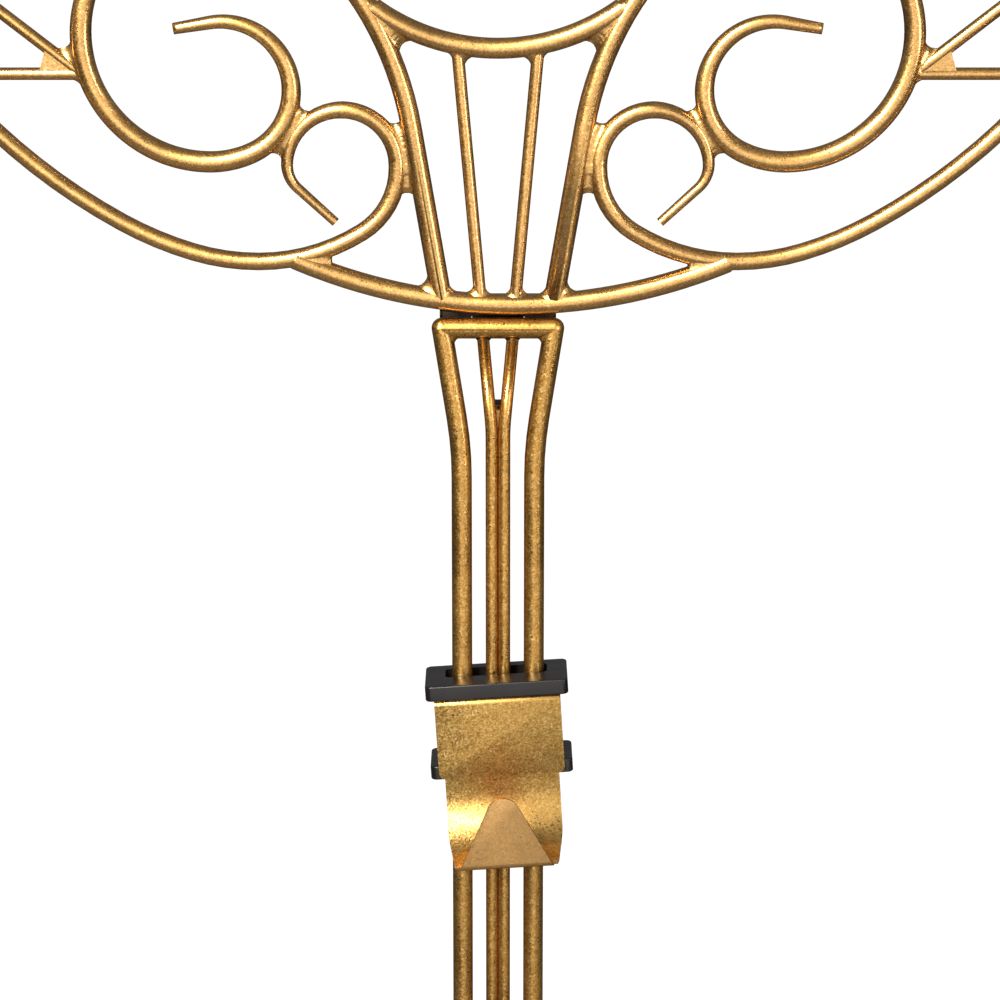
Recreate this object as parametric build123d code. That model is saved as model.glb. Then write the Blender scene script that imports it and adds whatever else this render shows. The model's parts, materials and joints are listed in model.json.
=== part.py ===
from build123d import *
from math import cos, radians, sin, tan
import os

os.makedirs("parts", exist_ok=True)

# A floor-standing music stand of welded round rod, in millimetres. The stand faces -Y.
# Its upper part is drawn on the mast's own plane: x to the right, y up the mast, z to the front,
# with the origin at the middle of the head bar. The mast leans back about the floor line.

# Stock
THICK_R = 7.94 / 2
THIN_R = 4.76 / 2
RIM_R = 6.8 / 2
SHEET = 1.2

# More than the width of any cut
CUT_ROOM = 50.0

# Stance
HEAD_HEIGHT = 1195.0
MAST_LEAN = 6.0
REAR_LEG_ANGLE = 16.0

# Mast
HEAD_HALF = 21.6
RAIL_SLANT = 9.0
RAIL_SLANT_RUN = 36.0
RAIL_BEND_R = 150.0
INNER_TOP_X = 5.9
INNER_SLANT = 5.2
INNER_SLANT_RUN = 34.5
INNER_BEND_R = 80.0
FOOT_BAR_DROP = 735.0
KNEE_R = 150.0
KNEE_TURN = 42.0
THIGH_RUN = 150.0
ANKLE_R = 200.0
ANKLE_TURN = 24.0
STRETCHER_DROP = 955.0
STRETCHER_RISE = 30.0

# Desk
BOW_RISE = 9.3
BOW_R = 210.0
BOW_LEFT = 78.0
BOW_RIGHT = 87.5
BOW_TILT = -1.8
STILE_X = 21.6
RIM_SIDE = (227.5, 162.6)
HEART_SIDE = (157.3, 112.3)
TORCH_BOW_LOW = 107.4
TORCH_BOW_R = 80.0
TORCH_BOW_HALF = 47.0
TORCH_BAR_FOOT_X = 6.6
TORCH_BAR_TOP_X = 15.4
RAY_ROOT = (157.5, 97.8)
UPPER_RAY_RUN = 90.0
LOWER_RAY_RUN = 51.3
RAY_ANGLE = 38.0
GUSSET_REACH = (16, 0)
GUSSET_TIP = (13, 10)
GUSSET_THICK = 4.0

# Desk hinge, behind the gap between bow and head bar
LEAF_HALF = 21.5
LEAF_THICK = 1.5
LEAF_TOP = 12.6
LEAF_FOOT = -5.0
KNUCKLE_R = 3.2
KNUCKLE_GAP = 0.25
CENTRE_KNUCKLE_HALF = 10.0
DESK_PIN_R = 1.5
DESK_PIN_HEAD_R = 2.4
DESK_PIN_HEAD = 1.0
HINGE_RISE = BOW_RISE / 2
LEAF_BITE = 0.1
RUNNING_FIT = 0.05

# Slider
SLIDER_DROP = 157.5
SLIDER_SIDE = 0.5
SLIDER_CANT = 3.6
GUIDE_HALF = 28.0
GUIDE_BACK = 12.5
GUIDE_FRONT = -16.5
GUIDE_SPACING = 33.0
UPPER_GUIDE_THICK = 6.1
LOWER_GUIDE_THICK = 5.5
LOWER_GUIDE_BACK = 10.0
SLOT_HALF = 20.1
SLOT_FRONT = -4.5
SLOT_BACK = 7.0
GUIDE_CORNER_R = 2.5
GUIDE_EDGE_R = 0.6
SLOT_CORNER_R = 2.0
PLATE_HALF = 24.75
PLATE_FRONT = -15.8
PLATE_CORNER_R = 2.5
FLANGE_RUN = 6.5
SHEET_BEND_R = 1.8
STRIP_HALF = 22.5
STRIP_TOP = -18.7
STRIP_LAP = 4.0
STRIP_TAPER = 10.0
HOOK_FLAT_FOOT = -24.9
HOOK_CURVE_R = 23.0
HOOK_CURVE_TURN = 78.0
HOOK_TOE_RUN = 4.0
LIP_BEND_R = 2.5
LIP_BEND_TURN = 94.0
LIP_RUN = 28.1
LIP_BASE_HALF = 18.4
LIP_TIP_R = 6.4
LIP_LAP = 3.0
SCREW_R = 1.4
SCREW_LENGTH = 5.7
SCREW_HEAD_R = 2.6
SCREW_HEAD = 1.5
SCREW_X = 22.0
SCREW_Y = -10.5
STUD_RUN = 6.0

# Rear-leg hinge, hidden behind the inner rods
LEG_HINGE_DROP = 39.5
LEG_HINGE_BACK = 18.5
EAR_OUTER = 4.2
EAR_INNER = 3.0
EAR_NOSE_R = 3.5
CLEVIS_BELOW = 4.0
CLEVIS_PLAY = 0.5
CLEVIS_BASE = 2.0
CLEVIS_HEEL = 6.0
STOP_FRONT = 8.4
STOP_BACK = 6.4
TONGUE_HALF = 2.6
TONGUE_HEEL = 6.0
TONGUE_RUN = 16.0
LEG_PIN_R = 1.6
LEG_PIN_HEAD_R = 2.6
LEG_PIN_HEAD = 0.6

# Feet
FOOT_R = 7.5
FOOT_SLEEVE = 20.0
FOOT_SOLE = 14.0
FOOT_EDGE_R = 2.0
ROD_END_LIFT = 6.0


def rod_edges(start, heading, bends):
    """Straight runs and tangent arcs. A bend is (radius, turn in degrees); a run is (None, length)."""
    edges = []
    point = Vector(*start)
    tangent = Vector(1, 0).rotate(Axis.Z, heading)
    for radius, amount in bends:
        if radius is None:
            edge = Line(point, point + tangent * amount)
        else:
            edge = JernArc(point, tangent, radius, amount)
        edges.append(edge)
        point = edge @ 1
        tangent = edge % 1
    return edges


def disc(edge, along, radius):
    return Plane(origin=edge @ along, z_dir=edge % along) * Circle(radius)


def rod(edges, radii):
    """One bar along tangent edges, drawn down from one radius to the next at each joint."""
    bar = None
    for edge, near, far in zip(edges, radii, radii[1:]):
        if near == far:
            span = sweep(disc(edge, 0, near), path=edge)
        else:
            span = sweep(Sketch() + [disc(edge, 0, near), disc(edge, 1, far)], path=edge, multisection=True)
        bar = span if bar is None else bar + span
    return bar


def even_rod(edges, radius):
    return rod(edges, [radius] * (len(edges) + 1))


def mirrored(shape):
    return mirror(shape, about=Plane.YZ)


def copy_of(shape):
    return shape


def coped(branch, *mains):
    """A bar whose ends are shaped to sit on the bars it is welded to."""
    for main in mains:
        branch = branch - main
    return branch


def block(x_range, y_range, z_range):
    sizes = [high - low for low, high in (x_range, y_range, z_range)]
    middle = [(high + low) / 2 for low, high in (x_range, y_range, z_range)]
    return Pos(*middle) * Box(*sizes)


def cylinder_x(radius, half, y=0.0, z=0.0, x=0.0):
    return Pos(x, y, z) * Rot(0, 90, 0) * Cylinder(radius, 2 * half)


# Frames: the mast with Z along it, the same as a front view, and the rear leg with Z along it.
def mast_on(floor_y):
    """The mast's frame, with its origin in the head bar and its plane meeting the floor at floor_y."""
    return Pos(0, floor_y + HEAD_HEIGHT * tan(radians(MAST_LEAN)), HEAD_HEIGHT) * Rot(-MAST_LEAN, 0, 0)


def front_view(mast_frame):
    return mast_frame * Rot(90, 0, 0)


def leg_hinge_point(mast_frame):
    return (mast_frame * Pos(0, LEG_HINGE_BACK, -LEG_HINGE_DROP)).position


# Mast, drawn in front view
def rail_edges():
    knee = rod_edges(
        (HEAD_HALF, 0),
        -90 - RAIL_SLANT,
        [(None, RAIL_SLANT_RUN), (RAIL_BEND_R, RAIL_SLANT)],
    )
    drop = FOOT_BAR_DROP + (knee[-1] @ 1).Y
    foot_end = -(HEAD_HEIGHT - ROD_END_LIFT) / cos(radians(MAST_LEAN))
    down = rod_edges(
        knee[-1] @ 1,
        -90,
        [(None, drop), (KNEE_R, KNEE_TURN), (None, THIGH_RUN), (ANKLE_R, -ANKLE_TURN)],
    )
    shin_angle = radians(90 - KNEE_TURN + ANKLE_TURN)
    shin = ((down[-1] @ 1).Y - foot_end) / sin(shin_angle)
    last = down[-1]
    return knee + down + rod_edges(last @ 1, -90 + KNEE_TURN - ANKLE_TURN, [(None, shin)])


def head_bar():
    bar = Rot(0, 90, 0) * Cylinder(THICK_R, 2 * HEAD_HALF)
    for side in (-1, 1):
        bar += Pos(side * HEAD_HALF, 0, 0) * Sphere(THICK_R)
    return bar


def straight_bar(radius, half, height):
    return Pos(0, height, 0) * Rot(0, 90, 0) * Cylinder(radius, 2 * half)


def inner_rod():
    edges = rod_edges(
        (INNER_TOP_X, -THICK_R / 2),
        -90 - INNER_SLANT,
        [(None, INNER_SLANT_RUN), (INNER_BEND_R, INNER_SLANT)],
    )
    end = edges[-1] @ 1
    return even_rod(edges + [Line(end, Vector(end.X, -FOOT_BAR_DROP))], THIN_R)


def stretcher(rail_line):
    leg = rail_line[5]
    share = (leg @ 0).Y + STRETCHER_DROP
    half = (leg @ 0).X + share * (leg % 0).X / -(leg % 0).Y
    low = -STRETCHER_DROP
    arc = ThreePointArc((-half, low), (0, low + STRETCHER_RISE), (half, low))
    return even_rod([arc], THIN_R)


# Desk, drawn in front view; the right-hand member of each pair
def bow_end(reach):
    return (reach, BOW_R - (BOW_R**2 - reach**2) ** 0.5)


def desk_bow():
    bow = even_rod([ThreePointArc(bow_end(-BOW_LEFT), (0, 0), bow_end(BOW_RIGHT))], THICK_R)
    return Pos(0, BOW_RISE, 0) * Rot(0, 0, BOW_TILT) * bow


def rim_scroll():
    bends = [(120, -46), (230, -14.7), (136, -12.4), (86, -16.9), (75, -32), (29, -58)]
    loop = [(None, 1.2), (21, -90), (21, -90), (12, -47.4), (None, 19.5)]
    radii = [RIM_R] * 8 + [3.3, 2.3, 2.0, 1.8]
    return rod(rod_edges(RIM_SIDE, -90, bends + loop), radii)


def rim_crest():
    bends = [(62, 62), (203, 28), (28, 90), (28, 90), (20, 80)]
    return rod(rod_edges(RIM_SIDE, 90, bends), [RIM_R, RIM_R, RIM_R, 3.3, 2.5, 1.8])


def heart_scroll():
    loop = [(48, -90), (38, -25), (26, -65), (26, -99.5), (None, 14)]
    lower = rod(rod_edges(HEART_SIDE, -90, loop), [4.15, 4.1, 4.0, 3.7, 2.6, 2.2])
    upper = rod(rod_edges(HEART_SIDE, 90, [(48, 15), (75, 50), (45, 48)]), [4.15, 4.0, 3.6, 3.2])
    return lower + upper


def torch_stile():
    start = (STILE_X, BOW_RISE + 2.2)
    bends = [(None, 67), (130, -20), (100, -12), (55, 110), (60, -75)]
    own_side = Pos(500, 0, 0) * Box(1000, 1000, 1000)
    return even_rod(rod_edges(start, 80.3, bends), THICK_R) & own_side


def torch_bow():
    end_y = TORCH_BOW_LOW + TORCH_BOW_R - (TORCH_BOW_R**2 - TORCH_BOW_HALF**2) ** 0.5
    arc = ThreePointArc((-TORCH_BOW_HALF, end_y), (0, TORCH_BOW_LOW), (TORCH_BOW_HALF, end_y))
    return even_rod([arc], THICK_R)


def torch_bar():
    return even_rod([Line((TORCH_BAR_FOOT_X, BOW_RISE + 1), (TORCH_BAR_TOP_X, TORCH_BOW_LOW + 1))], THIN_R)


def ray(angle, run):
    return even_rod(rod_edges(RAY_ROOT, angle, [(None, run)]), THIN_R)


def ray_gusset():
    root = Vector(*RAY_ROOT)
    outline = Polyline(root, root + GUSSET_REACH, root + GUSSET_TIP, close=True)
    return extrude(make_face(outline), GUSSET_THICK / 2, both=True)


# Desk hinge, with Y to the back and Z up the mast
def hinge_axis_back():
    return THICK_R - LEAF_BITE + KNUCKLE_R


def knuckle(x_low, x_high):
    middle = (x_low + x_high) / 2
    return cylinder_x(KNUCKLE_R, (x_high - x_low) / 2, y=hinge_axis_back(), z=HINGE_RISE, x=middle)


def leaf(z_low, z_high):
    front = THICK_R - LEAF_BITE
    return block((-LEAF_HALF, LEAF_HALF), (front, front + LEAF_THICK), (z_low, z_high))


def pin_hole(radius):
    return cylinder_x(radius, CUT_ROOM, y=hinge_axis_back(), z=HINGE_RISE)


def hinge_leaf_upper():
    middle = CENTRE_KNUCKLE_HALF
    gap_top = HINGE_RISE + KNUCKLE_R + KNUCKLE_GAP
    side_gap = block((-CUT_ROOM, -middle), (0, CUT_ROOM), (-CUT_ROOM, gap_top))
    plate = leaf(HINGE_RISE, LEAF_TOP) - side_gap - mirrored(side_gap)
    return plate + knuckle(-middle, middle) - pin_hole(DESK_PIN_R + RUNNING_FIT)


def hinge_leaf_lower():
    inner = CENTRE_KNUCKLE_HALF + KNUCKLE_GAP
    gap_foot = HINGE_RISE - KNUCKLE_R - KNUCKLE_GAP
    centre_gap = block((-inner, inner), (0, CUT_ROOM), (gap_foot, CUT_ROOM))
    side = knuckle(inner, LEAF_HALF)
    return leaf(LEAF_FOOT, HINGE_RISE) - centre_gap + side + mirrored(side) - pin_hole(DESK_PIN_R)


def desk_hinge_pin():
    pin = cylinder_x(DESK_PIN_R, LEAF_HALF, y=hinge_axis_back(), z=HINGE_RISE)
    for side in (-1, 1):
        x = side * (LEAF_HALF + DESK_PIN_HEAD / 2)
        pin += cylinder_x(DESK_PIN_HEAD_R, DESK_PIN_HEAD / 2, y=hinge_axis_back(), z=HINGE_RISE, x=x)
    return pin


# Slider, about its own middle, with Y to the back and Z up
def guide(front, back, middle, thick):
    body = block((-GUIDE_HALF, GUIDE_HALF), (front, back), (middle - thick / 2, middle + thick / 2))
    body = fillet(body.edges().filter_by(Axis.Z), GUIDE_CORNER_R)
    body = fillet(body.edges().filter_by(Axis.Z, reverse=True), GUIDE_EDGE_R)
    slot = block((-SLOT_HALF, SLOT_HALF), (SLOT_FRONT, SLOT_BACK), (middle - thick, middle + thick))
    return body - fillet(slot.edges().filter_by(Axis.Z), SLOT_CORNER_R)


def screws():
    flange_foot = GUIDE_SPACING / 2 - UPPER_GUIDE_THICK / 2 - SHEET
    pair = []
    for side in (-1, 1):
        place = Pos(side * SCREW_X, SCREW_Y, flange_foot)
        shank = place * Pos(0, 0, SCREW_LENGTH / 2) * Cylinder(SCREW_R, SCREW_LENGTH)
        head = place * Pos(0, 0, -SCREW_HEAD / 2) * Cylinder(SCREW_HEAD_R, SCREW_HEAD)
        pair.append(shank + head)
    return pair


def studs():
    middle = PLATE_FRONT + SHEET + STUD_RUN / 2
    row = [Pos(side * SCREW_X, middle, -GUIDE_SPACING / 2) for side in (-1, 1)]
    return [place * Rot(90, 0, 0) * Cylinder(SCREW_R, STUD_RUN) for place in row]


def group(solids):
    return Compound(children=[solid.solid() for solid in solids])


def sheet_run(edges):
    """A bent sheet seen from the side: first axis to the front, second up, extruded across the stand."""
    side_view = Plane(origin=(0, 0, 0), x_dir=(0, -1, 0), z_dir=(-1, 0, 0))
    return extrude(side_view * trace(edges, SHEET), PLATE_HALF, both=True)


def plate_outline(top, toe_y):
    """The front view of the plate and the narrower strip below it, down to the hook's toe."""
    plate = Pos(0, (STRIP_TOP + top) / 2) * Rectangle(2 * PLATE_HALF, top - STRIP_TOP)
    plate = fillet(plate.vertices().group_by(Axis.Y)[0], PLATE_CORNER_R)
    strip_top = STRIP_TOP + STRIP_LAP
    foot = toe_y - LIP_LAP
    shoulder = (STRIP_HALF, toe_y + STRIP_TAPER)
    taper = TangentArc(shoulder, (LIP_BASE_HALF, foot), tangent=(0, -1))
    edge = Line((STRIP_HALF, strip_top), shoulder) + taper
    top_line = Line((-STRIP_HALF, strip_top), (STRIP_HALF, strip_top))
    foot_line = Line((-LIP_BASE_HALF, foot), (LIP_BASE_HALF, foot))
    return plate + make_face(edge + mirrored(edge) + top_line + foot_line)


def lip_outline(toe_y, top):
    """The front view of the lip: straight sides up to a round tip."""
    tip = Pos(0, top - LIP_TIP_R) * Circle(LIP_TIP_R)
    base = Pos(0, toe_y - LIP_LAP + SHEET) * Rectangle(2 * LIP_BASE_HALF, 2 * SHEET)
    return make_hull(tip.edges() + base.edges())


def hook_plate():
    flange_z = GUIDE_SPACING / 2 - UPPER_GUIDE_THICK / 2 - SHEET / 2
    face = -PLATE_FRONT - SHEET / 2
    body_line = rod_edges(
        (FLANGE_RUN, flange_z),
        0,
        [
            (None, face - SHEET_BEND_R - FLANGE_RUN),
            (SHEET_BEND_R, -90),
            (None, flange_z - SHEET_BEND_R - HOOK_FLAT_FOOT),
            (HOOK_CURVE_R, HOOK_CURVE_TURN),
            (None, HOOK_TOE_RUN),
        ],
    )
    toe = body_line[-1] @ 1
    lip_line = rod_edges(toe, HOOK_CURVE_TURN - 90, [(LIP_BEND_R, LIP_BEND_TURN), (None, LIP_RUN)])
    outlines = (plate_outline(flange_z + SHEET, toe.Y), lip_outline(toe.Y, (lip_line[-1] @ 1).Y))
    body, lip = [Rot(90, 0, 0) * extrude(outline, CUT_ROOM, both=True) for outline in outlines]
    return (sheet_run(body_line) & body) + (sheet_run(lip_line) & lip)


# Rear leg and its hinge; the clevis is placed on the mast, the leg in its own frame
def leg_clevis():
    axis_y = LEG_HINGE_BACK
    low = -LEG_HINGE_DROP - CLEVIS_BELOW
    high = -LEG_HINGE_DROP + TONGUE_HEEL + CLEVIS_PLAY
    back = THIN_R + CLEVIS_BASE
    base = block((-EAR_OUTER, EAR_OUTER), (THIN_R - LEAF_BITE, back), (low - CLEVIS_HEEL, high))
    ears = block((-EAR_OUTER, EAR_OUTER), (back, axis_y + CLEVIS_BELOW), (low, high))
    ears = fillet(ears.edges().filter_by(Axis.X).group_by(Axis.Y)[-1], EAR_NOSE_R)
    channel = block((-EAR_INNER, EAR_INNER), (back, CUT_ROOM), (low - CLEVIS_PLAY, high + CLEVIS_PLAY))
    stop_range = (axis_y - STOP_FRONT, axis_y - STOP_BACK)
    stop = block((-EAR_INNER, EAR_INNER), stop_range, (-LEG_HINGE_DROP + CLEVIS_PLAY, high))
    hole = cylinder_x(LEG_PIN_R, CUT_ROOM, y=axis_y, z=-LEG_HINGE_DROP)
    return base + (ears - channel) + stop - hole


def leg_hinge_pin():
    pin = cylinder_x(LEG_PIN_R, EAR_OUTER, y=LEG_HINGE_BACK, z=-LEG_HINGE_DROP)
    for side in (-1, 1):
        x = side * (EAR_OUTER + LEG_PIN_HEAD / 2)
        pin += cylinder_x(LEG_PIN_HEAD_R, LEG_PIN_HEAD / 2, y=LEG_HINGE_BACK, z=-LEG_HINGE_DROP, x=x)
    return pin


def rear_leg_tongue():
    tongue = block((-TONGUE_HALF, TONGUE_HALF), (-THICK_R, THICK_R), (-TONGUE_RUN, TONGUE_HEEL))
    return tongue - cylinder_x(LEG_PIN_R + RUNNING_FIT, CUT_ROOM)


def rear_leg_rod(length):
    return Pos(0, 0, -(TONGUE_RUN + length) / 2) * Cylinder(THICK_R, length - TONGUE_RUN)


def foot_cap():
    """A rubber cap on a bar that ends at the origin and comes down along -Z."""
    height = FOOT_SLEEVE + FOOT_SOLE
    cap = Pos(0, 0, FOOT_SLEEVE - height / 2) * Cylinder(FOOT_R, height)
    cap = fillet(cap.edges().group_by(Axis.Z)[-1], FOOT_EDGE_R)
    return cap - Pos(0, 0, FOOT_SLEEVE) * Cylinder(THICK_R, 2 * FOOT_SLEEVE)


def above_floor(shape):
    room = Pos(0, 0, HEAD_HEIGHT / 2) * Box(4000, 4000, HEAD_HEIGHT)
    return shape & room


def mast_nodes(mast_frame):
    front = front_view(mast_frame)
    line = rail_edges()
    head = head_bar()
    rail = coped(even_rod(line, THICK_R), head)
    foot_bar = coped(straight_bar(THIN_R, (line[2] @ 0).X, -FOOT_BAR_DROP), rail, mirrored(rail))
    inner = coped(inner_rod(), head, foot_bar)
    foot = above_floor(front * Location(Plane(origin=line[-1] @ 1, z_dir=-(line[-1] % 1))) * foot_cap())
    return {
        "mast_head_bar": front * head,
        "mast_rail_right": front * rail,
        "mast_rail_left": front * mirrored(rail),
        "inner_rod_right": front * inner,
        "inner_rod_left": front * mirrored(inner),
        "mast_foot_bar": front * foot_bar,
        "leg_stretcher": front * coped(stretcher(line), rail, mirrored(rail)),
        "front_foot_right": foot,
        "front_foot_left": mirrored(foot),
        "desk_hinge_leaf_lower": mast_frame * hinge_leaf_lower(),
        "desk_hinge_pin": mast_frame * desk_hinge_pin(),
        "leg_hinge_clevis": mast_frame * leg_clevis(),
        "leg_hinge_pin": mast_frame * leg_hinge_pin(),
    }


def desk_side(side, bow):
    """The crown's members on one side, welded to the bow; the bow isn't quite level."""
    hand = mirrored if side == "left" else copy_of
    rim, crest, heart = hand(rim_scroll()), hand(rim_crest()), hand(heart_scroll())
    bow = coped(bow, rim)
    stile = coped(hand(torch_stile()), bow)
    lower_ray = coped(hand(ray(0, LOWER_RAY_RUN)), heart, rim)
    upper_ray = coped(hand(ray(RAY_ANGLE, UPPER_RAY_RUN)), heart, rim, crest, lower_ray)
    return bow, {
        "rim_scroll": rim,
        "rim_crest": crest,
        "heart_scroll": coped(heart, stile),
        "torch_stile": stile,
        "torch_bar": coped(hand(torch_bar()), bow, torch_bow()),
        "ray_lower": lower_ray,
        "ray_upper": upper_ray,
        "ray_gusset": coped(hand(ray_gusset()), heart, lower_ray, upper_ray),
    }


def desk_nodes(mast_frame):
    front = front_view(mast_frame)
    bow = desk_bow()
    nodes = {"desk_hinge_leaf_upper": mast_frame * hinge_leaf_upper()}
    stiles = []
    for side in ("left", "right"):
        bow, members = desk_side(side, bow)
        stiles.append(members["torch_stile"])
        nodes.update({f"{name}_{side}": front * shape for name, shape in members.items()})
    nodes["desk_bow"] = front * bow
    nodes["torch_bow"] = front * coped(torch_bow(), *stiles)
    return nodes


def slider_nodes(mast_frame):
    middle = GUIDE_SPACING / 2
    upper = guide(GUIDE_FRONT, GUIDE_BACK, middle, UPPER_GUIDE_THICK)
    lower = guide(PLATE_FRONT + SHEET, LOWER_GUIDE_BACK, -middle, LOWER_GUIDE_THICK)
    screw_pair = screws()
    stud_pair = studs()
    place = mast_frame * Pos(SLIDER_SIDE, 0, -SLIDER_DROP) * Rot(0, -SLIDER_CANT, 0)
    nodes = {
        "hook_plate": coped(hook_plate(), *screw_pair),
        "upper_guide": coped(upper, *screw_pair),
        "lower_guide": coped(lower, *stud_pair),
        "upper_guide_screws": group(screw_pair),
        "lower_guide_studs": group(stud_pair),
    }
    return {name: place * shape for name, shape in nodes.items()}


def rear_leg_nodes(mast_frame):
    hinge = leg_hinge_point(mast_frame)
    length = (hinge.Z - ROD_END_LIFT) / cos(radians(REAR_LEG_ANGLE))
    place = Pos(*hinge) * Rot(REAR_LEG_ANGLE, 0, 0)
    return {
        "rear_leg_tongue": place * rear_leg_tongue(),
        "rear_leg_rod": place * rear_leg_rod(length),
        "rear_foot": above_floor(place * Pos(0, 0, -length) * foot_cap()),
    }


def centred_floor_line():
    """Where the mast plane meets the floor, so that the stand's depth is centred on the origin."""
    trial = mast_on(0)
    front_edge = mast_nodes(trial)["front_foot_right"].bounding_box().min.Y
    rear_edge = rear_leg_nodes(trial)["rear_foot"].bounding_box().max.Y
    return -(front_edge + rear_edge) / 2


def main():
    mast_frame = mast_on(centred_floor_line())
    nodes = mast_nodes(mast_frame)
    nodes.update(desk_nodes(mast_frame))
    nodes.update(slider_nodes(mast_frame))
    nodes.update(rear_leg_nodes(mast_frame))
    for name, shape in nodes.items():
        export_step(shape, f"parts/{name}.step")
    hinge = (mast_frame * Pos(0, hinge_axis_back(), HINGE_RISE)).position
    print("desk hinge", hinge)
    print("leg hinge", leg_hinge_point(mast_frame))
    print("mast direction", 0, sin(radians(MAST_LEAN)), cos(radians(MAST_LEAN)))


main()
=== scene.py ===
"""The looks of the music stand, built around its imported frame. Lengths are in metres."""
import json
from math import cos, radians, sin

import bmesh
import bpy
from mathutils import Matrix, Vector
from mathutils.bvhtree import BVHTree


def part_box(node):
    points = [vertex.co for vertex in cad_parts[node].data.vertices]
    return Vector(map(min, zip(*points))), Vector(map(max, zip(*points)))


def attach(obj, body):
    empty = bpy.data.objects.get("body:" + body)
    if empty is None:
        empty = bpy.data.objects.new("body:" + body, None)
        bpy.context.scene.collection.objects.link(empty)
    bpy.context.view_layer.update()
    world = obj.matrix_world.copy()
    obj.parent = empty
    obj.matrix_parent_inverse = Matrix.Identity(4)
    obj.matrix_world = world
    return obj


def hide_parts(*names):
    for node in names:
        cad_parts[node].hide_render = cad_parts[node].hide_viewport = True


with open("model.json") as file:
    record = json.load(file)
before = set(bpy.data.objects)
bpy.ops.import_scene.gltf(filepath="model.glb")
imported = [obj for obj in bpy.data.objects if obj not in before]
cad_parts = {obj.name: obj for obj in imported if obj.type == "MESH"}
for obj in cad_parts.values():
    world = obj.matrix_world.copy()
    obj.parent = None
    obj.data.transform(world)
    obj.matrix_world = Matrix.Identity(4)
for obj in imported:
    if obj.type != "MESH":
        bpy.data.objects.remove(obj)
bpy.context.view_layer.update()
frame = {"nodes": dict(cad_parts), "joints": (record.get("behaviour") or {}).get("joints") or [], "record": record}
nodes = frame["nodes"]
body_members = frame["record"]["behaviour"]["bodies"]
body_of_node = {node: body for body, members in body_members.items() for node in members}

SIDES = ("left", "right")

# View
VIEW_DISTANCE = 1.313
VIEW_ELEVATION = 20.0
VIEW_LENS = 121.2
VIEW_DROP = 0.0683
VIEW_SHIFT_X = 0.0008

# Studio
AMBIENT = 0.2
BACKDROP = 1.0
FLOOR_TONE = (0.16, 0.155, 0.15, 1)
FLOOR_GLOW = 1.0

# Lamps: place, width and height, power, colour
LAMPS = {
    "front panel": ((0.4, -3.3, 1.3), (3.2, 2.6), 34, (1.0, 0.97, 0.93)),
    "key": ((-0.85, -1.9, 2.6), (0.6, 1.3), 135, (1.0, 0.98, 0.95)),
    "fill": ((1.8, -1.6, 1.6), (0.4, 1.3), 20, (1, 1, 1)),
}

# Weld shapes
WELD_REACH = 0.015
BOW_WELD_REACH = 0.012
WELD_THICK = 0.0026
WELD_THIN = 0.0020
WELD_GRID = 0.0005
WELD_SUNK = 0.00018
HEAD_WELD = 0.0012
SWELL_ROUNDS = 4
SHRINK_ROUNDS = 6
BEAD_SMOOTH_ANGLE = 80.0
CONTACT = 0.0012
TACK_CONTACT = 0.0022

# Burnt beads and tacks: how thick, and how far they reach. The bead at the top of each inner rod is also painted
# shade under the head bar.
BURNT_AND_SHADE_RING = (0.0007, 0.006)
STILE_TACK = (0.0010, 0.006)
BAR_TACK = (0.0010, 0.005)

# Doubled points of a node's triangles lie closer than this
SAME_POINT = 2e-6

# Eased edges, and the angles that tell a flat, a smooth bend and a sharp rim apart
SHEET_EDGE = 0.00028
STEEL_EDGE = 0.00012
FLAT_ANGLE = 1.0
SMOOTH_ANGLE = 32.0
RIM_ANGLE = 40.0

# Depth of the hook's upturned lip, front to back, and how softly its painted highlight begins
LIP_DEPTH = 0.006
LIP_BLEND = 0.002

# Lacquer: roughness taken off and put on by handling, glint of the flakes, flake tilt left on the lip that is
# painted lighter
HANDLED_POLISH = 0.05
HANDLED_DULLING = 0.08
FLAKE_GLINT = 0.16
LIP_FLAKE_TILT = 0.3
LACQUER_ROUGH = 0.17


# Materials: shared groups

def shader_group(name, inputs, outputs):
    group = bpy.data.node_groups.new(name, "ShaderNodeTree")
    for label, kind, value in inputs:
        socket = group.interface.new_socket(name=label, in_out="INPUT", socket_type=kind)
        if value is not None:
            socket.default_value = value
    for label, kind in outputs:
        group.interface.new_socket(name=label, in_out="OUTPUT", socket_type=kind)
    return group


def add(tree, kind, **settings):
    node = tree.nodes.new(kind)
    for key, value in settings.items():
        setattr(node, key, value)
    return node


def set_ramp(node, stops):
    ramp = node.color_ramp
    while len(ramp.elements) < len(stops):
        ramp.elements.new(0.5)
    for element, (place, colour) in zip(ramp.elements, stops):
        element.position = place
        element.color = colour
    return node


def maths(tree, operation, first, second):
    node = add(tree, "ShaderNodeMath", operation=operation)
    for socket, value in zip(node.inputs, (first, second)):
        if isinstance(value, (int, float)):
            socket.default_value = value
        else:
            tree.links.new(value, socket)
    return node.outputs[0]


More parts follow.
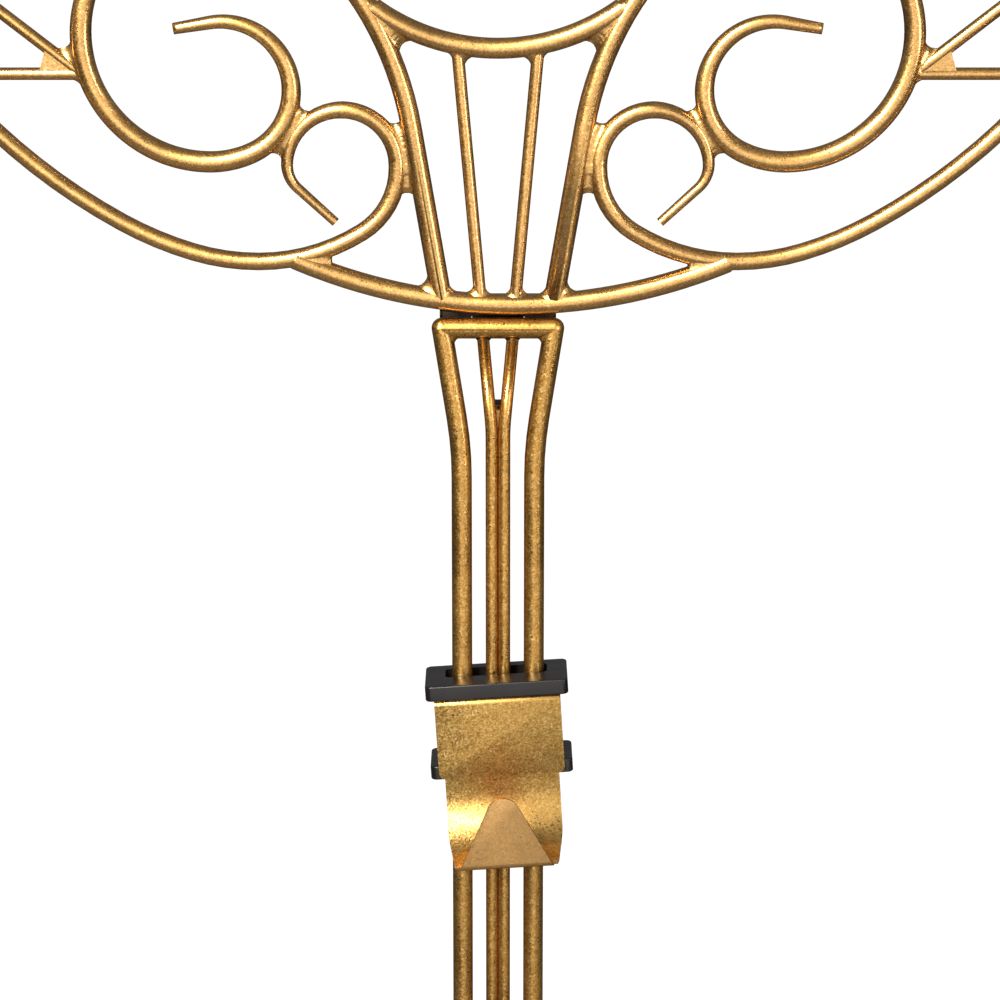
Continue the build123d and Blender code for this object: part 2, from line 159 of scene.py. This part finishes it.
def make_flake_group():
    """Metal flakes in a lacquer: each cell has its own shade and its own tilt."""
    group = shader_group(
        "metal flakes",
        [("Size", "NodeSocketFloat", 0.0008), ("Tilt", "NodeSocketFloat", 0.3)],
        [("Shade", "NodeSocketFloat"), ("Sparkle", "NodeSocketFloat"), ("Normal", "NodeSocketVector")],
    )
    into = add(group, "NodeGroupInput")
    out = add(group, "NodeGroupOutput")
    place = add(group, "ShaderNodeTexCoord")
    density = maths(group, "DIVIDE", 1.0, into.outputs["Size"])
    cells = add(group, "ShaderNodeTexVoronoi", feature="F1")
    group.links.new(place.outputs["Object"], cells.inputs["Vector"])
    group.links.new(density, cells.inputs["Scale"])
    split = add(group, "ShaderNodeSeparateColor")
    group.links.new(cells.outputs["Color"], split.inputs["Color"])
    cloud = add(group, "ShaderNodeTexNoise")
    cloud.inputs["Detail"].default_value = 3.0
    group.links.new(place.outputs["Object"], cloud.inputs["Vector"])
    group.links.new(maths(group, "MULTIPLY", density, 0.22), cloud.inputs["Scale"])
    blend = maths(group, "MULTIPLY_ADD", split.outputs["Red"], 0.6)
    group.links.new(maths(group, "MULTIPLY", cloud.outputs["Fac"], 0.4), blend.node.inputs[2])
    sparkle = add(group, "ShaderNodeMapRange")
    sparkle.inputs["From Min"].default_value = 0.86
    group.links.new(split.outputs["Green"], sparkle.inputs["Value"])
    centred = add(group, "ShaderNodeVectorMath", operation="SUBTRACT")
    centred.inputs[1].default_value = (0.5, 0.5, 0.5)
    group.links.new(cells.outputs["Color"], centred.inputs[0])
    scaled = add(group, "ShaderNodeVectorMath", operation="SCALE")
    group.links.new(centred.outputs[0], scaled.inputs[0])
    group.links.new(into.outputs["Tilt"], scaled.inputs["Scale"])
    surface = add(group, "ShaderNodeNewGeometry")
    leaned = add(group, "ShaderNodeVectorMath", operation="ADD")
    group.links.new(surface.outputs["Normal"], leaned.inputs[0])
    group.links.new(scaled.outputs[0], leaned.inputs[1])
    unit = add(group, "ShaderNodeVectorMath", operation="NORMALIZE")
    group.links.new(leaned.outputs[0], unit.inputs[0])
    group.links.new(blend, out.inputs["Shade"])
    group.links.new(sparkle.outputs[0], out.inputs["Sparkle"])
    group.links.new(unit.outputs[0], out.inputs["Normal"])
    return group


def make_dust_group():
    """Uneven handling marks and thin dust, as a soft mask."""
    group = shader_group(
        "handled surface",
        [("Scale", "NodeSocketFloat", 40.0)],
        [("Mask", "NodeSocketFloat")],
    )
    into = add(group, "NodeGroupInput")
    out = add(group, "NodeGroupOutput")
    place = add(group, "ShaderNodeTexCoord")
    noise = add(group, "ShaderNodeTexNoise")
    noise.inputs["Detail"].default_value = 5.0
    noise.inputs["Roughness"].default_value = 0.6
    group.links.new(place.outputs["Object"], noise.inputs["Vector"])
    group.links.new(into.outputs["Scale"], noise.inputs["Scale"])
    mask = add(group, "ShaderNodeMapRange")
    mask.inputs["From Min"].default_value = 0.35
    mask.inputs["From Max"].default_value = 0.7
    group.links.new(noise.outputs["Fac"], mask.inputs["Value"])
    group.links.new(mask.outputs[0], out.inputs["Mask"])
    return group


flake_group = make_flake_group()
dust_group = make_dust_group()


def new_material(name):
    material = bpy.data.materials.new(name)
    material.use_nodes = True
    tree = material.node_tree
    return material, tree, tree.nodes["Principled BSDF"]


def grouped(tree, group, **values):
    node = add(tree, "ShaderNodeGroup", node_tree=group)
    for label, value in values.items():
        node.inputs[label].default_value = value
    return node


def handled_roughness(tree, handled, low, high):
    """Roughness between two values, uneven where the surface is handled."""
    gloss = add(tree, "ShaderNodeMapRange")
    gloss.inputs["To Min"].default_value = low
    gloss.inputs["To Max"].default_value = high
    tree.links.new(handled.outputs["Mask"], gloss.inputs["Value"])
    return gloss.outputs[0]


def front_mask(tree, edge, blend):
    """One in front of a line across the stand, nothing behind it."""
    place = add(tree, "ShaderNodeTexCoord")
    split = add(tree, "ShaderNodeSeparateXYZ")
    tree.links.new(place.outputs["Object"], split.inputs[0])
    mask = add(tree, "ShaderNodeMapRange")
    mask.inputs["From Min"].default_value = edge + blend
    mask.inputs["From Max"].default_value = edge
    tree.links.new(split.outputs["Y"], mask.inputs["Value"])
    return mask.outputs[0]


def flake_paint(name, shades, size, tilt, rough, coat, lip_highlight_edge=None):
    """Gold metallic lacquer over its flakes. In front of the lip edge its colour is painted lighter, a painted
    highlight for the lit lip, and its flakes tilt less.
    """
    material, tree, surface = new_material(name)
    flakes = grouped(tree, flake_group, Size=size, Tilt=tilt)
    colour = set_ramp(add(tree, "ShaderNodeValToRGB"), shades)
    tree.links.new(flakes.outputs["Shade"], colour.inputs["Fac"])
    shade = colour.outputs["Color"]
    # In front of the lip edge: a lighter colour, which is a painted highlight, and flatter flakes
    if lip_highlight_edge is not None:
        mask = front_mask(tree, lip_highlight_edge, LIP_BLEND)
        lip_highlight = set_ramp(add(tree, "ShaderNodeValToRGB"), LIP_HIGHLIGHT_SHADES)
        tree.links.new(flakes.outputs["Shade"], lip_highlight.inputs["Fac"])
        mix = add(tree, "ShaderNodeMix", data_type="RGBA")
        tree.links.new(mask, mix.inputs["Factor"])
        tree.links.new(shade, mix.inputs["A"])
        tree.links.new(lip_highlight.outputs["Color"], mix.inputs["B"])
        shade = mix.outputs["Result"]
        calm = add(tree, "ShaderNodeMapRange")
        calm.inputs["To Min"].default_value = tilt
        calm.inputs["To Max"].default_value = tilt * LIP_FLAKE_TILT
        tree.links.new(mask, calm.inputs["Value"])
        tree.links.new(calm.outputs[0], flakes.inputs["Tilt"])
    tree.links.new(shade, surface.inputs["Base Color"])
    tree.links.new(flakes.outputs["Normal"], surface.inputs["Normal"])
    handled = grouped(tree, dust_group, Scale=45.0)
    gloss = handled_roughness(tree, handled, rough - HANDLED_POLISH, rough + HANDLED_DULLING)
    glint = maths(tree, "MULTIPLY", flakes.outputs["Sparkle"], -FLAKE_GLINT)
    tree.links.new(maths(tree, "ADD", gloss, glint), surface.inputs["Roughness"])
    surface.inputs["Metallic"].default_value = 1.0
    surface.inputs["Specular Tint"].default_value = EDGE_TINT
    surface.inputs["Coat Weight"].default_value = coat
    surface.inputs["Coat Roughness"].default_value = LACQUER_ROUGH
    return material


def moulded_plastic(name, colour, rough, pit_scale, pit_depth):
    material, tree, surface = new_material(name)
    handled = grouped(tree, dust_group, Scale=90.0)
    dusty = [channel * DUST_LIFT for channel in colour]
    tint = set_ramp(add(tree, "ShaderNodeValToRGB"), [(0.0, (*colour, 1)), (1.0, (*dusty, 1))])
    tree.links.new(handled.outputs["Mask"], tint.inputs["Fac"])
    tree.links.new(tint.outputs["Color"], surface.inputs["Base Color"])
    tree.links.new(handled_roughness(tree, handled, rough, rough + 0.14), surface.inputs["Roughness"])
    place = add(tree, "ShaderNodeTexCoord")
    pits = add(tree, "ShaderNodeTexNoise")
    pits.inputs["Scale"].default_value = pit_scale
    pits.inputs["Detail"].default_value = 4.0
    tree.links.new(place.outputs["Object"], pits.inputs["Vector"])
    relief = add(tree, "ShaderNodeBump")
    relief.inputs["Strength"].default_value = 0.35
    relief.inputs["Distance"].default_value = pit_depth
    tree.links.new(pits.outputs["Fac"], relief.inputs["Height"])
    tree.links.new(relief.outputs[0], surface.inputs["Normal"])
    return material


def blackened_steel(name):
    material, tree, surface = new_material(name)
    handled = grouped(tree, dust_group, Scale=130.0)
    tint = set_ramp(add(tree, "ShaderNodeValToRGB"), BLACKENED_SHADES)
    tree.links.new(handled.outputs["Mask"], tint.inputs["Fac"])
    tree.links.new(tint.outputs["Color"], surface.inputs["Base Color"])
    tree.links.new(handled_roughness(tree, handled, 0.38, 0.6), surface.inputs["Roughness"])
    surface.inputs["Metallic"].default_value = 0.8
    return material


# Finishes: shades from the darkest flake to the brightest. The three golds are one paint: the crown's copy is
# painted lighter and the rods' and plate's darker, painted light and shade.
CROWN_LIT_TONES = [
    (0.10, (0.42, 0.200, 0.042, 1)),
    (0.45, (0.56, 0.300, 0.078, 1)),
    (0.70, (0.67, 0.390, 0.120, 1)),
    (0.95, (0.90, 0.640, 0.300, 1)),
]
ROD_SHADED_TONES = [
    (0.10, (0.36, 0.170, 0.028, 1)),
    (0.45, (0.49, 0.255, 0.052, 1)),
    (0.70, (0.60, 0.340, 0.088, 1)),
    (0.95, (0.86, 0.600, 0.260, 1)),
]
PLATE_SHADED_TONES = [
    (0.10, (0.29, 0.155, 0.036, 1)),
    (0.45, (0.41, 0.238, 0.064, 1)),
    (0.70, (0.51, 0.315, 0.100, 1)),
    (0.95, (0.73, 0.520, 0.235, 1)),
]
# The lip's colours, lighter than the plate's: a painted highlight for the light falling on the lip
LIP_HIGHLIGHT_SHADES = [
    (0.15, (0.52, 0.290, 0.100, 1)),
    (0.60, (0.60, 0.350, 0.132, 1)),
    (0.92, (0.69, 0.430, 0.185, 1)),
]
BLACKENED_SHADES = [
    (0.0, (0.010, 0.008, 0.007, 1)),
    (0.7, (0.035, 0.027, 0.020, 1)),
    (1.0, (0.075, 0.052, 0.030, 1)),
]
EDGE_TINT = (0.62, 0.34, 0.12, 1)
DUST_LIFT = 1.7

lip_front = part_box("hook_plate")[0].y
# One gold paint, painted lighter on the crown and darker on the rods and the plate: painted light and shade
crown_gold = flake_paint("crown gold", CROWN_LIT_TONES, size=0.00045, tilt=0.06, rough=0.33, coat=1.0)
rod_gold = flake_paint("rod gold", ROD_SHADED_TONES, size=0.00055, tilt=0.13, rough=0.37, coat=0.5)
plate_gold = flake_paint(
    "plate gold",
    PLATE_SHADED_TONES,
    size=0.00055,
    tilt=0.14,
    rough=0.43,
    coat=0.0,
    # the lip in front of this line is painted lighter: a painted highlight
    lip_highlight_edge=lip_front + LIP_DEPTH,
)
guide_black = moulded_plastic(
    "guide black", (0.004, 0.003, 0.003), rough=0.24, pit_scale=900.0, pit_depth=0.00005
)
foot_black = moulded_plastic(
    "foot rubber", (0.012, 0.011, 0.011), rough=0.62, pit_scale=1400.0, pit_depth=0.00012
)
hinge_steel = blackened_steel("hinge steel")
# Near-black steel for the burnt tacks, and for the rings under the head bar, where it is also painted shade
burnt_weld_and_shade = blackened_steel("burnt weld and shade")
SLOT_MATERIALS = {
    "gold_paint": rod_gold,
    "black_plastic": guide_black,
    "dark_steel": hinge_steel,
    "foot_rubber": foot_black,
}
GOLD_OF_BODY = {"desk": crown_gold, "mast": rod_gold, "rear_leg": rod_gold, "slider": plate_gold}
slot_of_node = {entry["node"]: entry["material_slot"] for entry in frame["record"]["subparts"]}


# Mesh work

def merged(node):
    """A node's own surface with its loose triangles joined."""
    shape = bmesh.new()
    shape.from_mesh(nodes[node].data)
    bmesh.ops.remove_doubles(shape, verts=shape.verts, dist=SAME_POINT)
    return shape


def to_piece(name, shape, material, body):
    mesh = bpy.data.meshes.new(name)
    shape.to_mesh(mesh)
    shape.free()
    return mesh_piece(name, mesh, material, body, SMOOTH_ANGLE)


def mesh_piece(name, mesh, material, body, smooth_angle):
    mesh.materials.clear()
    mesh.materials.append(material)
    mesh.polygons.foreach_set("use_smooth", [True] * len(mesh.polygons))
    mesh.set_sharp_from_angle(angle=radians(smooth_angle))
    piece = bpy.data.objects.new(name, mesh)
    bpy.context.scene.collection.objects.link(piece)
    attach(piece, body)
    return piece


def smooth_copy(node, edge=0.0, material=None):
    """A node with one continuous surface, its sharp rims eased by a small bevel."""
    shape = merged(node)
    if edge:
        flat = radians(FLAT_ANGLE)
        bmesh.ops.dissolve_limit(shape, angle_limit=flat, verts=shape.verts, edges=shape.edges)
        closed = [edge for edge in shape.edges if len(edge.link_faces) == 2]
        rims = [edge for edge in closed if edge.calc_face_angle() > radians(RIM_ANGLE)]
        bmesh.ops.bevel(
            shape,
            geom=rims,
            offset=edge,
            offset_type="OFFSET",
            segments=2,
            profile=0.5,
            affect="EDGES",
            material=-1,
            clamp_overlap=True,
        )
    slot = slot_of_node[node]
    piece = to_piece(node + "_finish", shape, material or SLOT_MATERIALS[slot], body_of_node[node])
    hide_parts(node)
    return piece


def voxel_mesh(mesh, size):
    """The same surface on an even grid, with its overlaps joined."""
    holder = bpy.data.objects.new("grid", mesh)
    bpy.context.scene.collection.objects.link(holder)
    remesh = holder.modifiers.new("grid", "REMESH")
    remesh.mode = "VOXEL"
    remesh.voxel_size = size
    bpy.context.view_layer.update()
    graph = bpy.context.evaluated_depsgraph_get()
    result = bpy.data.meshes.new_from_object(holder.evaluated_get(graph))
    bpy.data.objects.remove(holder)
    return result


def grown(mesh, amount, rounds):
    """Every point moved out along its normal, then relaxed."""
    shape = bmesh.new()
    shape.from_mesh(mesh)
    shape.normal_update()
    moves = [vert.normal * amount for vert in shape.verts]
    for vert, move in zip(shape.verts, moves):
        vert.co += move
    for _ in range(rounds):
        bmesh.ops.smooth_vert(
            shape, verts=shape.verts, factor=0.5, use_axis_x=True, use_axis_y=True, use_axis_z=True
        )
    shape.to_mesh(mesh)
    shape.free()
    return mesh


def contact_point(within, first, *others):
    """The middle of the places where a node's surface meets the others."""
    total = Vector()
    count = 0
    shape = merged(first)
    for other in others:
        partner = merged(other)
        tree = BVHTree.FromBMesh(partner)
        for vert in shape.verts:
            if tree.find_nearest(vert.co, within)[0] is not None:
                total += vert.co
                count += 1
        partner.free()
    shape.free()
    if not count:
        raise ValueError(f"{first} doesn't meet {others}")
    return total / count


def weld(name, members, size=WELD_THICK, reach=WELD_REACH, material=None, contact=CONTACT):
    """A weld's flowing fillet: nearby bars are swollen together, then drawn back under their skins."""
    centre = contact_point(contact, *members)
    shape = bmesh.new()
    for member in members:
        part = merged(member)
        mesh = bpy.data.meshes.new("part")
        part.to_mesh(mesh)
        part.free()
        shape.from_mesh(mesh)
    for axis in (Vector((1, 0, 0)), Vector((0, 1, 0)), Vector((0, 0, 1))):
        for outward in (axis, -axis):
            bmesh.ops.bisect_plane(
                shape,
                geom=[*shape.verts, *shape.edges, *shape.faces],
                plane_co=centre + outward * reach,
                plane_no=outward,
                clear_outer=True,
            )
            rim = [edge for edge in shape.edges if edge.is_boundary]
            bmesh.ops.holes_fill(shape, edges=rim, sides=0)
    mesh = bpy.data.meshes.new(name)
    shape.to_mesh(mesh)
    shape.free()
    mesh = grown(voxel_mesh(mesh, WELD_GRID), size, SWELL_ROUNDS)
    mesh = grown(voxel_mesh(mesh, WELD_GRID), -(size + WELD_SUNK), SHRINK_ROUNDS)
    body = body_of_node[members[0]]
    return mesh_piece(name, mesh, material or GOLD_OF_BODY[body], body, BEAD_SMOOTH_ANGLE)


def make_welds():
    for side in SIDES:
        rim = "rim_scroll_" + side
        crest = "rim_crest_" + side
        heart = "heart_scroll_" + side
        stile = "torch_stile_" + side
        bar = "torch_bar_" + side
        weld("weld_bow_rim_" + side, ("desk_bow", rim), reach=BOW_WELD_REACH)
        weld("weld_bow_stile_" + side, ("desk_bow", stile))
        weld("weld_bow_bar_" + side, ("desk_bow", bar), WELD_THIN)
        weld("weld_torch_bow_stile_" + side, ("torch_bow", stile))
        weld("weld_torch_bow_bar_" + side, ("torch_bow", bar), WELD_THIN)
        weld("weld_rim_heart_" + side, (rim, heart), WELD_THIN)
        weld("weld_rim_stile_" + side, (rim, stile), WELD_THIN)
        weld("weld_crest_stile_" + side, (crest, stile), WELD_THIN)
        weld("weld_heart_stile_" + side, (heart, stile), WELD_THIN)
        weld("weld_rim_crest_" + side, (rim, crest), WELD_THIN)
        weld("weld_rays_" + side, (heart, "ray_lower_" + side, "ray_upper_" + side), WELD_THICK)
        weld("weld_ray_lower_rim_" + side, (rim, "ray_lower_" + side), WELD_THIN)
        weld("weld_ray_upper_rim_" + side, ("ray_upper_" + side, rim), WELD_THIN, contact=TACK_CONTACT)
        weld("weld_head_rail_" + side, ("mast_head_bar", "mast_rail_" + side), HEAD_WELD)
        # A near-black ring at the top of each inner rod: a burnt weld and painted shade under the head bar
        weld("weld_head_inner_" + side, ("inner_rod_" + side, "mast_head_bar"), *BURNT_AND_SHADE_RING, burnt_weld_and_shade)
        weld("weld_foot_inner_" + side, ("inner_rod_" + side, "mast_foot_bar"), WELD_THIN)
        leaf = "desk_hinge_leaf_upper"
        weld("tack_leaf_stile_" + side, (stile, leaf), *STILE_TACK, burnt_weld_and_shade, TACK_CONTACT)
        weld("tack_leaf_bar_" + side, (bar, leaf), *BAR_TACK, burnt_weld_and_shade, TACK_CONTACT)
        weld("weld_foot_bar_" + side, ("mast_foot_bar", "mast_rail_" + side), WELD_THIN)
        weld("weld_stretcher_" + side, ("leg_stretcher", "mast_rail_" + side), WELD_THIN)


def make_rods():
    for node, slot in sorted(slot_of_node.items()):
        if slot == "gold_paint" and node != "hook_plate":
            smooth_copy(node, material=GOLD_OF_BODY[body_of_node[node]])


def make_fittings():
    smooth_copy("hook_plate", SHEET_EDGE, plate_gold)
    for node, slot in sorted(slot_of_node.items()):
        if slot == "black_plastic" or slot == "foot_rubber":
            smooth_copy(node)
        elif slot == "dark_steel":
            smooth_copy(node, STEEL_EDGE)


# Stage, light and camera

def make_floor():
    shape = bmesh.new()
    bmesh.ops.create_grid(shape, x_segments=1, y_segments=1, size=20.0)
    mesh = bpy.data.meshes.new("floor")
    shape.to_mesh(mesh)
    shape.free()
    material, tree, surface = new_material("pale floor")
    seen = add(tree, "ShaderNodeLightPath")
    surface.inputs["Base Color"].default_value = FLOOR_TONE
    surface.inputs["Roughness"].default_value = 0.9
    surface.inputs["Emission Color"].default_value = (1, 1, 1, 1)
    glow = maths(tree, "MULTIPLY", seen.outputs["Is Camera Ray"], FLOOR_GLOW)
    tree.links.new(glow, surface.inputs["Emission Strength"])
    mesh.materials.append(material)
    floor = bpy.data.objects.new("floor", mesh)
    bpy.context.scene.collection.objects.link(floor)


def area_light(name, place, aim, size, power, colour):
    lamp = bpy.data.lights.new(name, "AREA")
    lamp.shape = "RECTANGLE"
    lamp.size, lamp.size_y = size
    lamp.energy = power
    lamp.color = colour
    holder = bpy.data.objects.new(name, lamp)
    bpy.context.scene.collection.objects.link(holder)
    holder.location = place
    holder.rotation_euler = (Vector(aim) - Vector(place)).to_track_quat("-Z", "Y").to_euler()


def make_light(target):
    world = bpy.data.worlds.new("studio")
    bpy.context.scene.world = world
    world.use_nodes = True
    tree = world.node_tree
    sky = tree.nodes["Background"]
    seen = add(tree, "ShaderNodeLightPath")
    shade = add(tree, "ShaderNodeMapRange")
    shade.inputs["To Min"].default_value = AMBIENT
    shade.inputs["To Max"].default_value = BACKDROP
    tree.links.new(seen.outputs["Is Camera Ray"], shade.inputs["Value"])
    tree.links.new(shade.outputs[0], sky.inputs["Strength"])
    sky.inputs["Color"].default_value = (0.97, 0.98, 1.0, 1)
    for name, (place, size, power, colour) in LAMPS.items():
        area_light(name, place, target, size, power, colour)


def mast_point(drop):
    """A point on the mast's plane, a distance below the head bar."""
    low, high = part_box("mast_head_bar")
    slide = [joint for joint in frame["joints"] if joint["name"] == "hook_slide"][0]
    return (low + high) / 2 - Vector(slide["axis"]) * drop


def make_camera(target):
    lens = bpy.data.cameras.new("camera")
    lens.lens = VIEW_LENS
    lens.sensor_width = 36.0
    camera = bpy.data.objects.new("camera", lens)
    bpy.context.scene.collection.objects.link(camera)
    back = Vector((0, -cos(radians(VIEW_ELEVATION)), sin(radians(VIEW_ELEVATION))))
    camera.location = target + back * VIEW_DISTANCE
    camera.rotation_euler = (target - camera.location).to_track_quat("-Z", "Y").to_euler()
    bpy.context.scene.camera = camera


aim = mast_point(VIEW_DROP) + Vector((VIEW_SHIFT_X, 0, 0))
bpy.context.scene.view_settings.view_transform = "Standard"
make_camera(aim)
make_light(aim)
make_floor()
make_rods()
make_fittings()
make_welds()
bpy.context.view_layer.update()
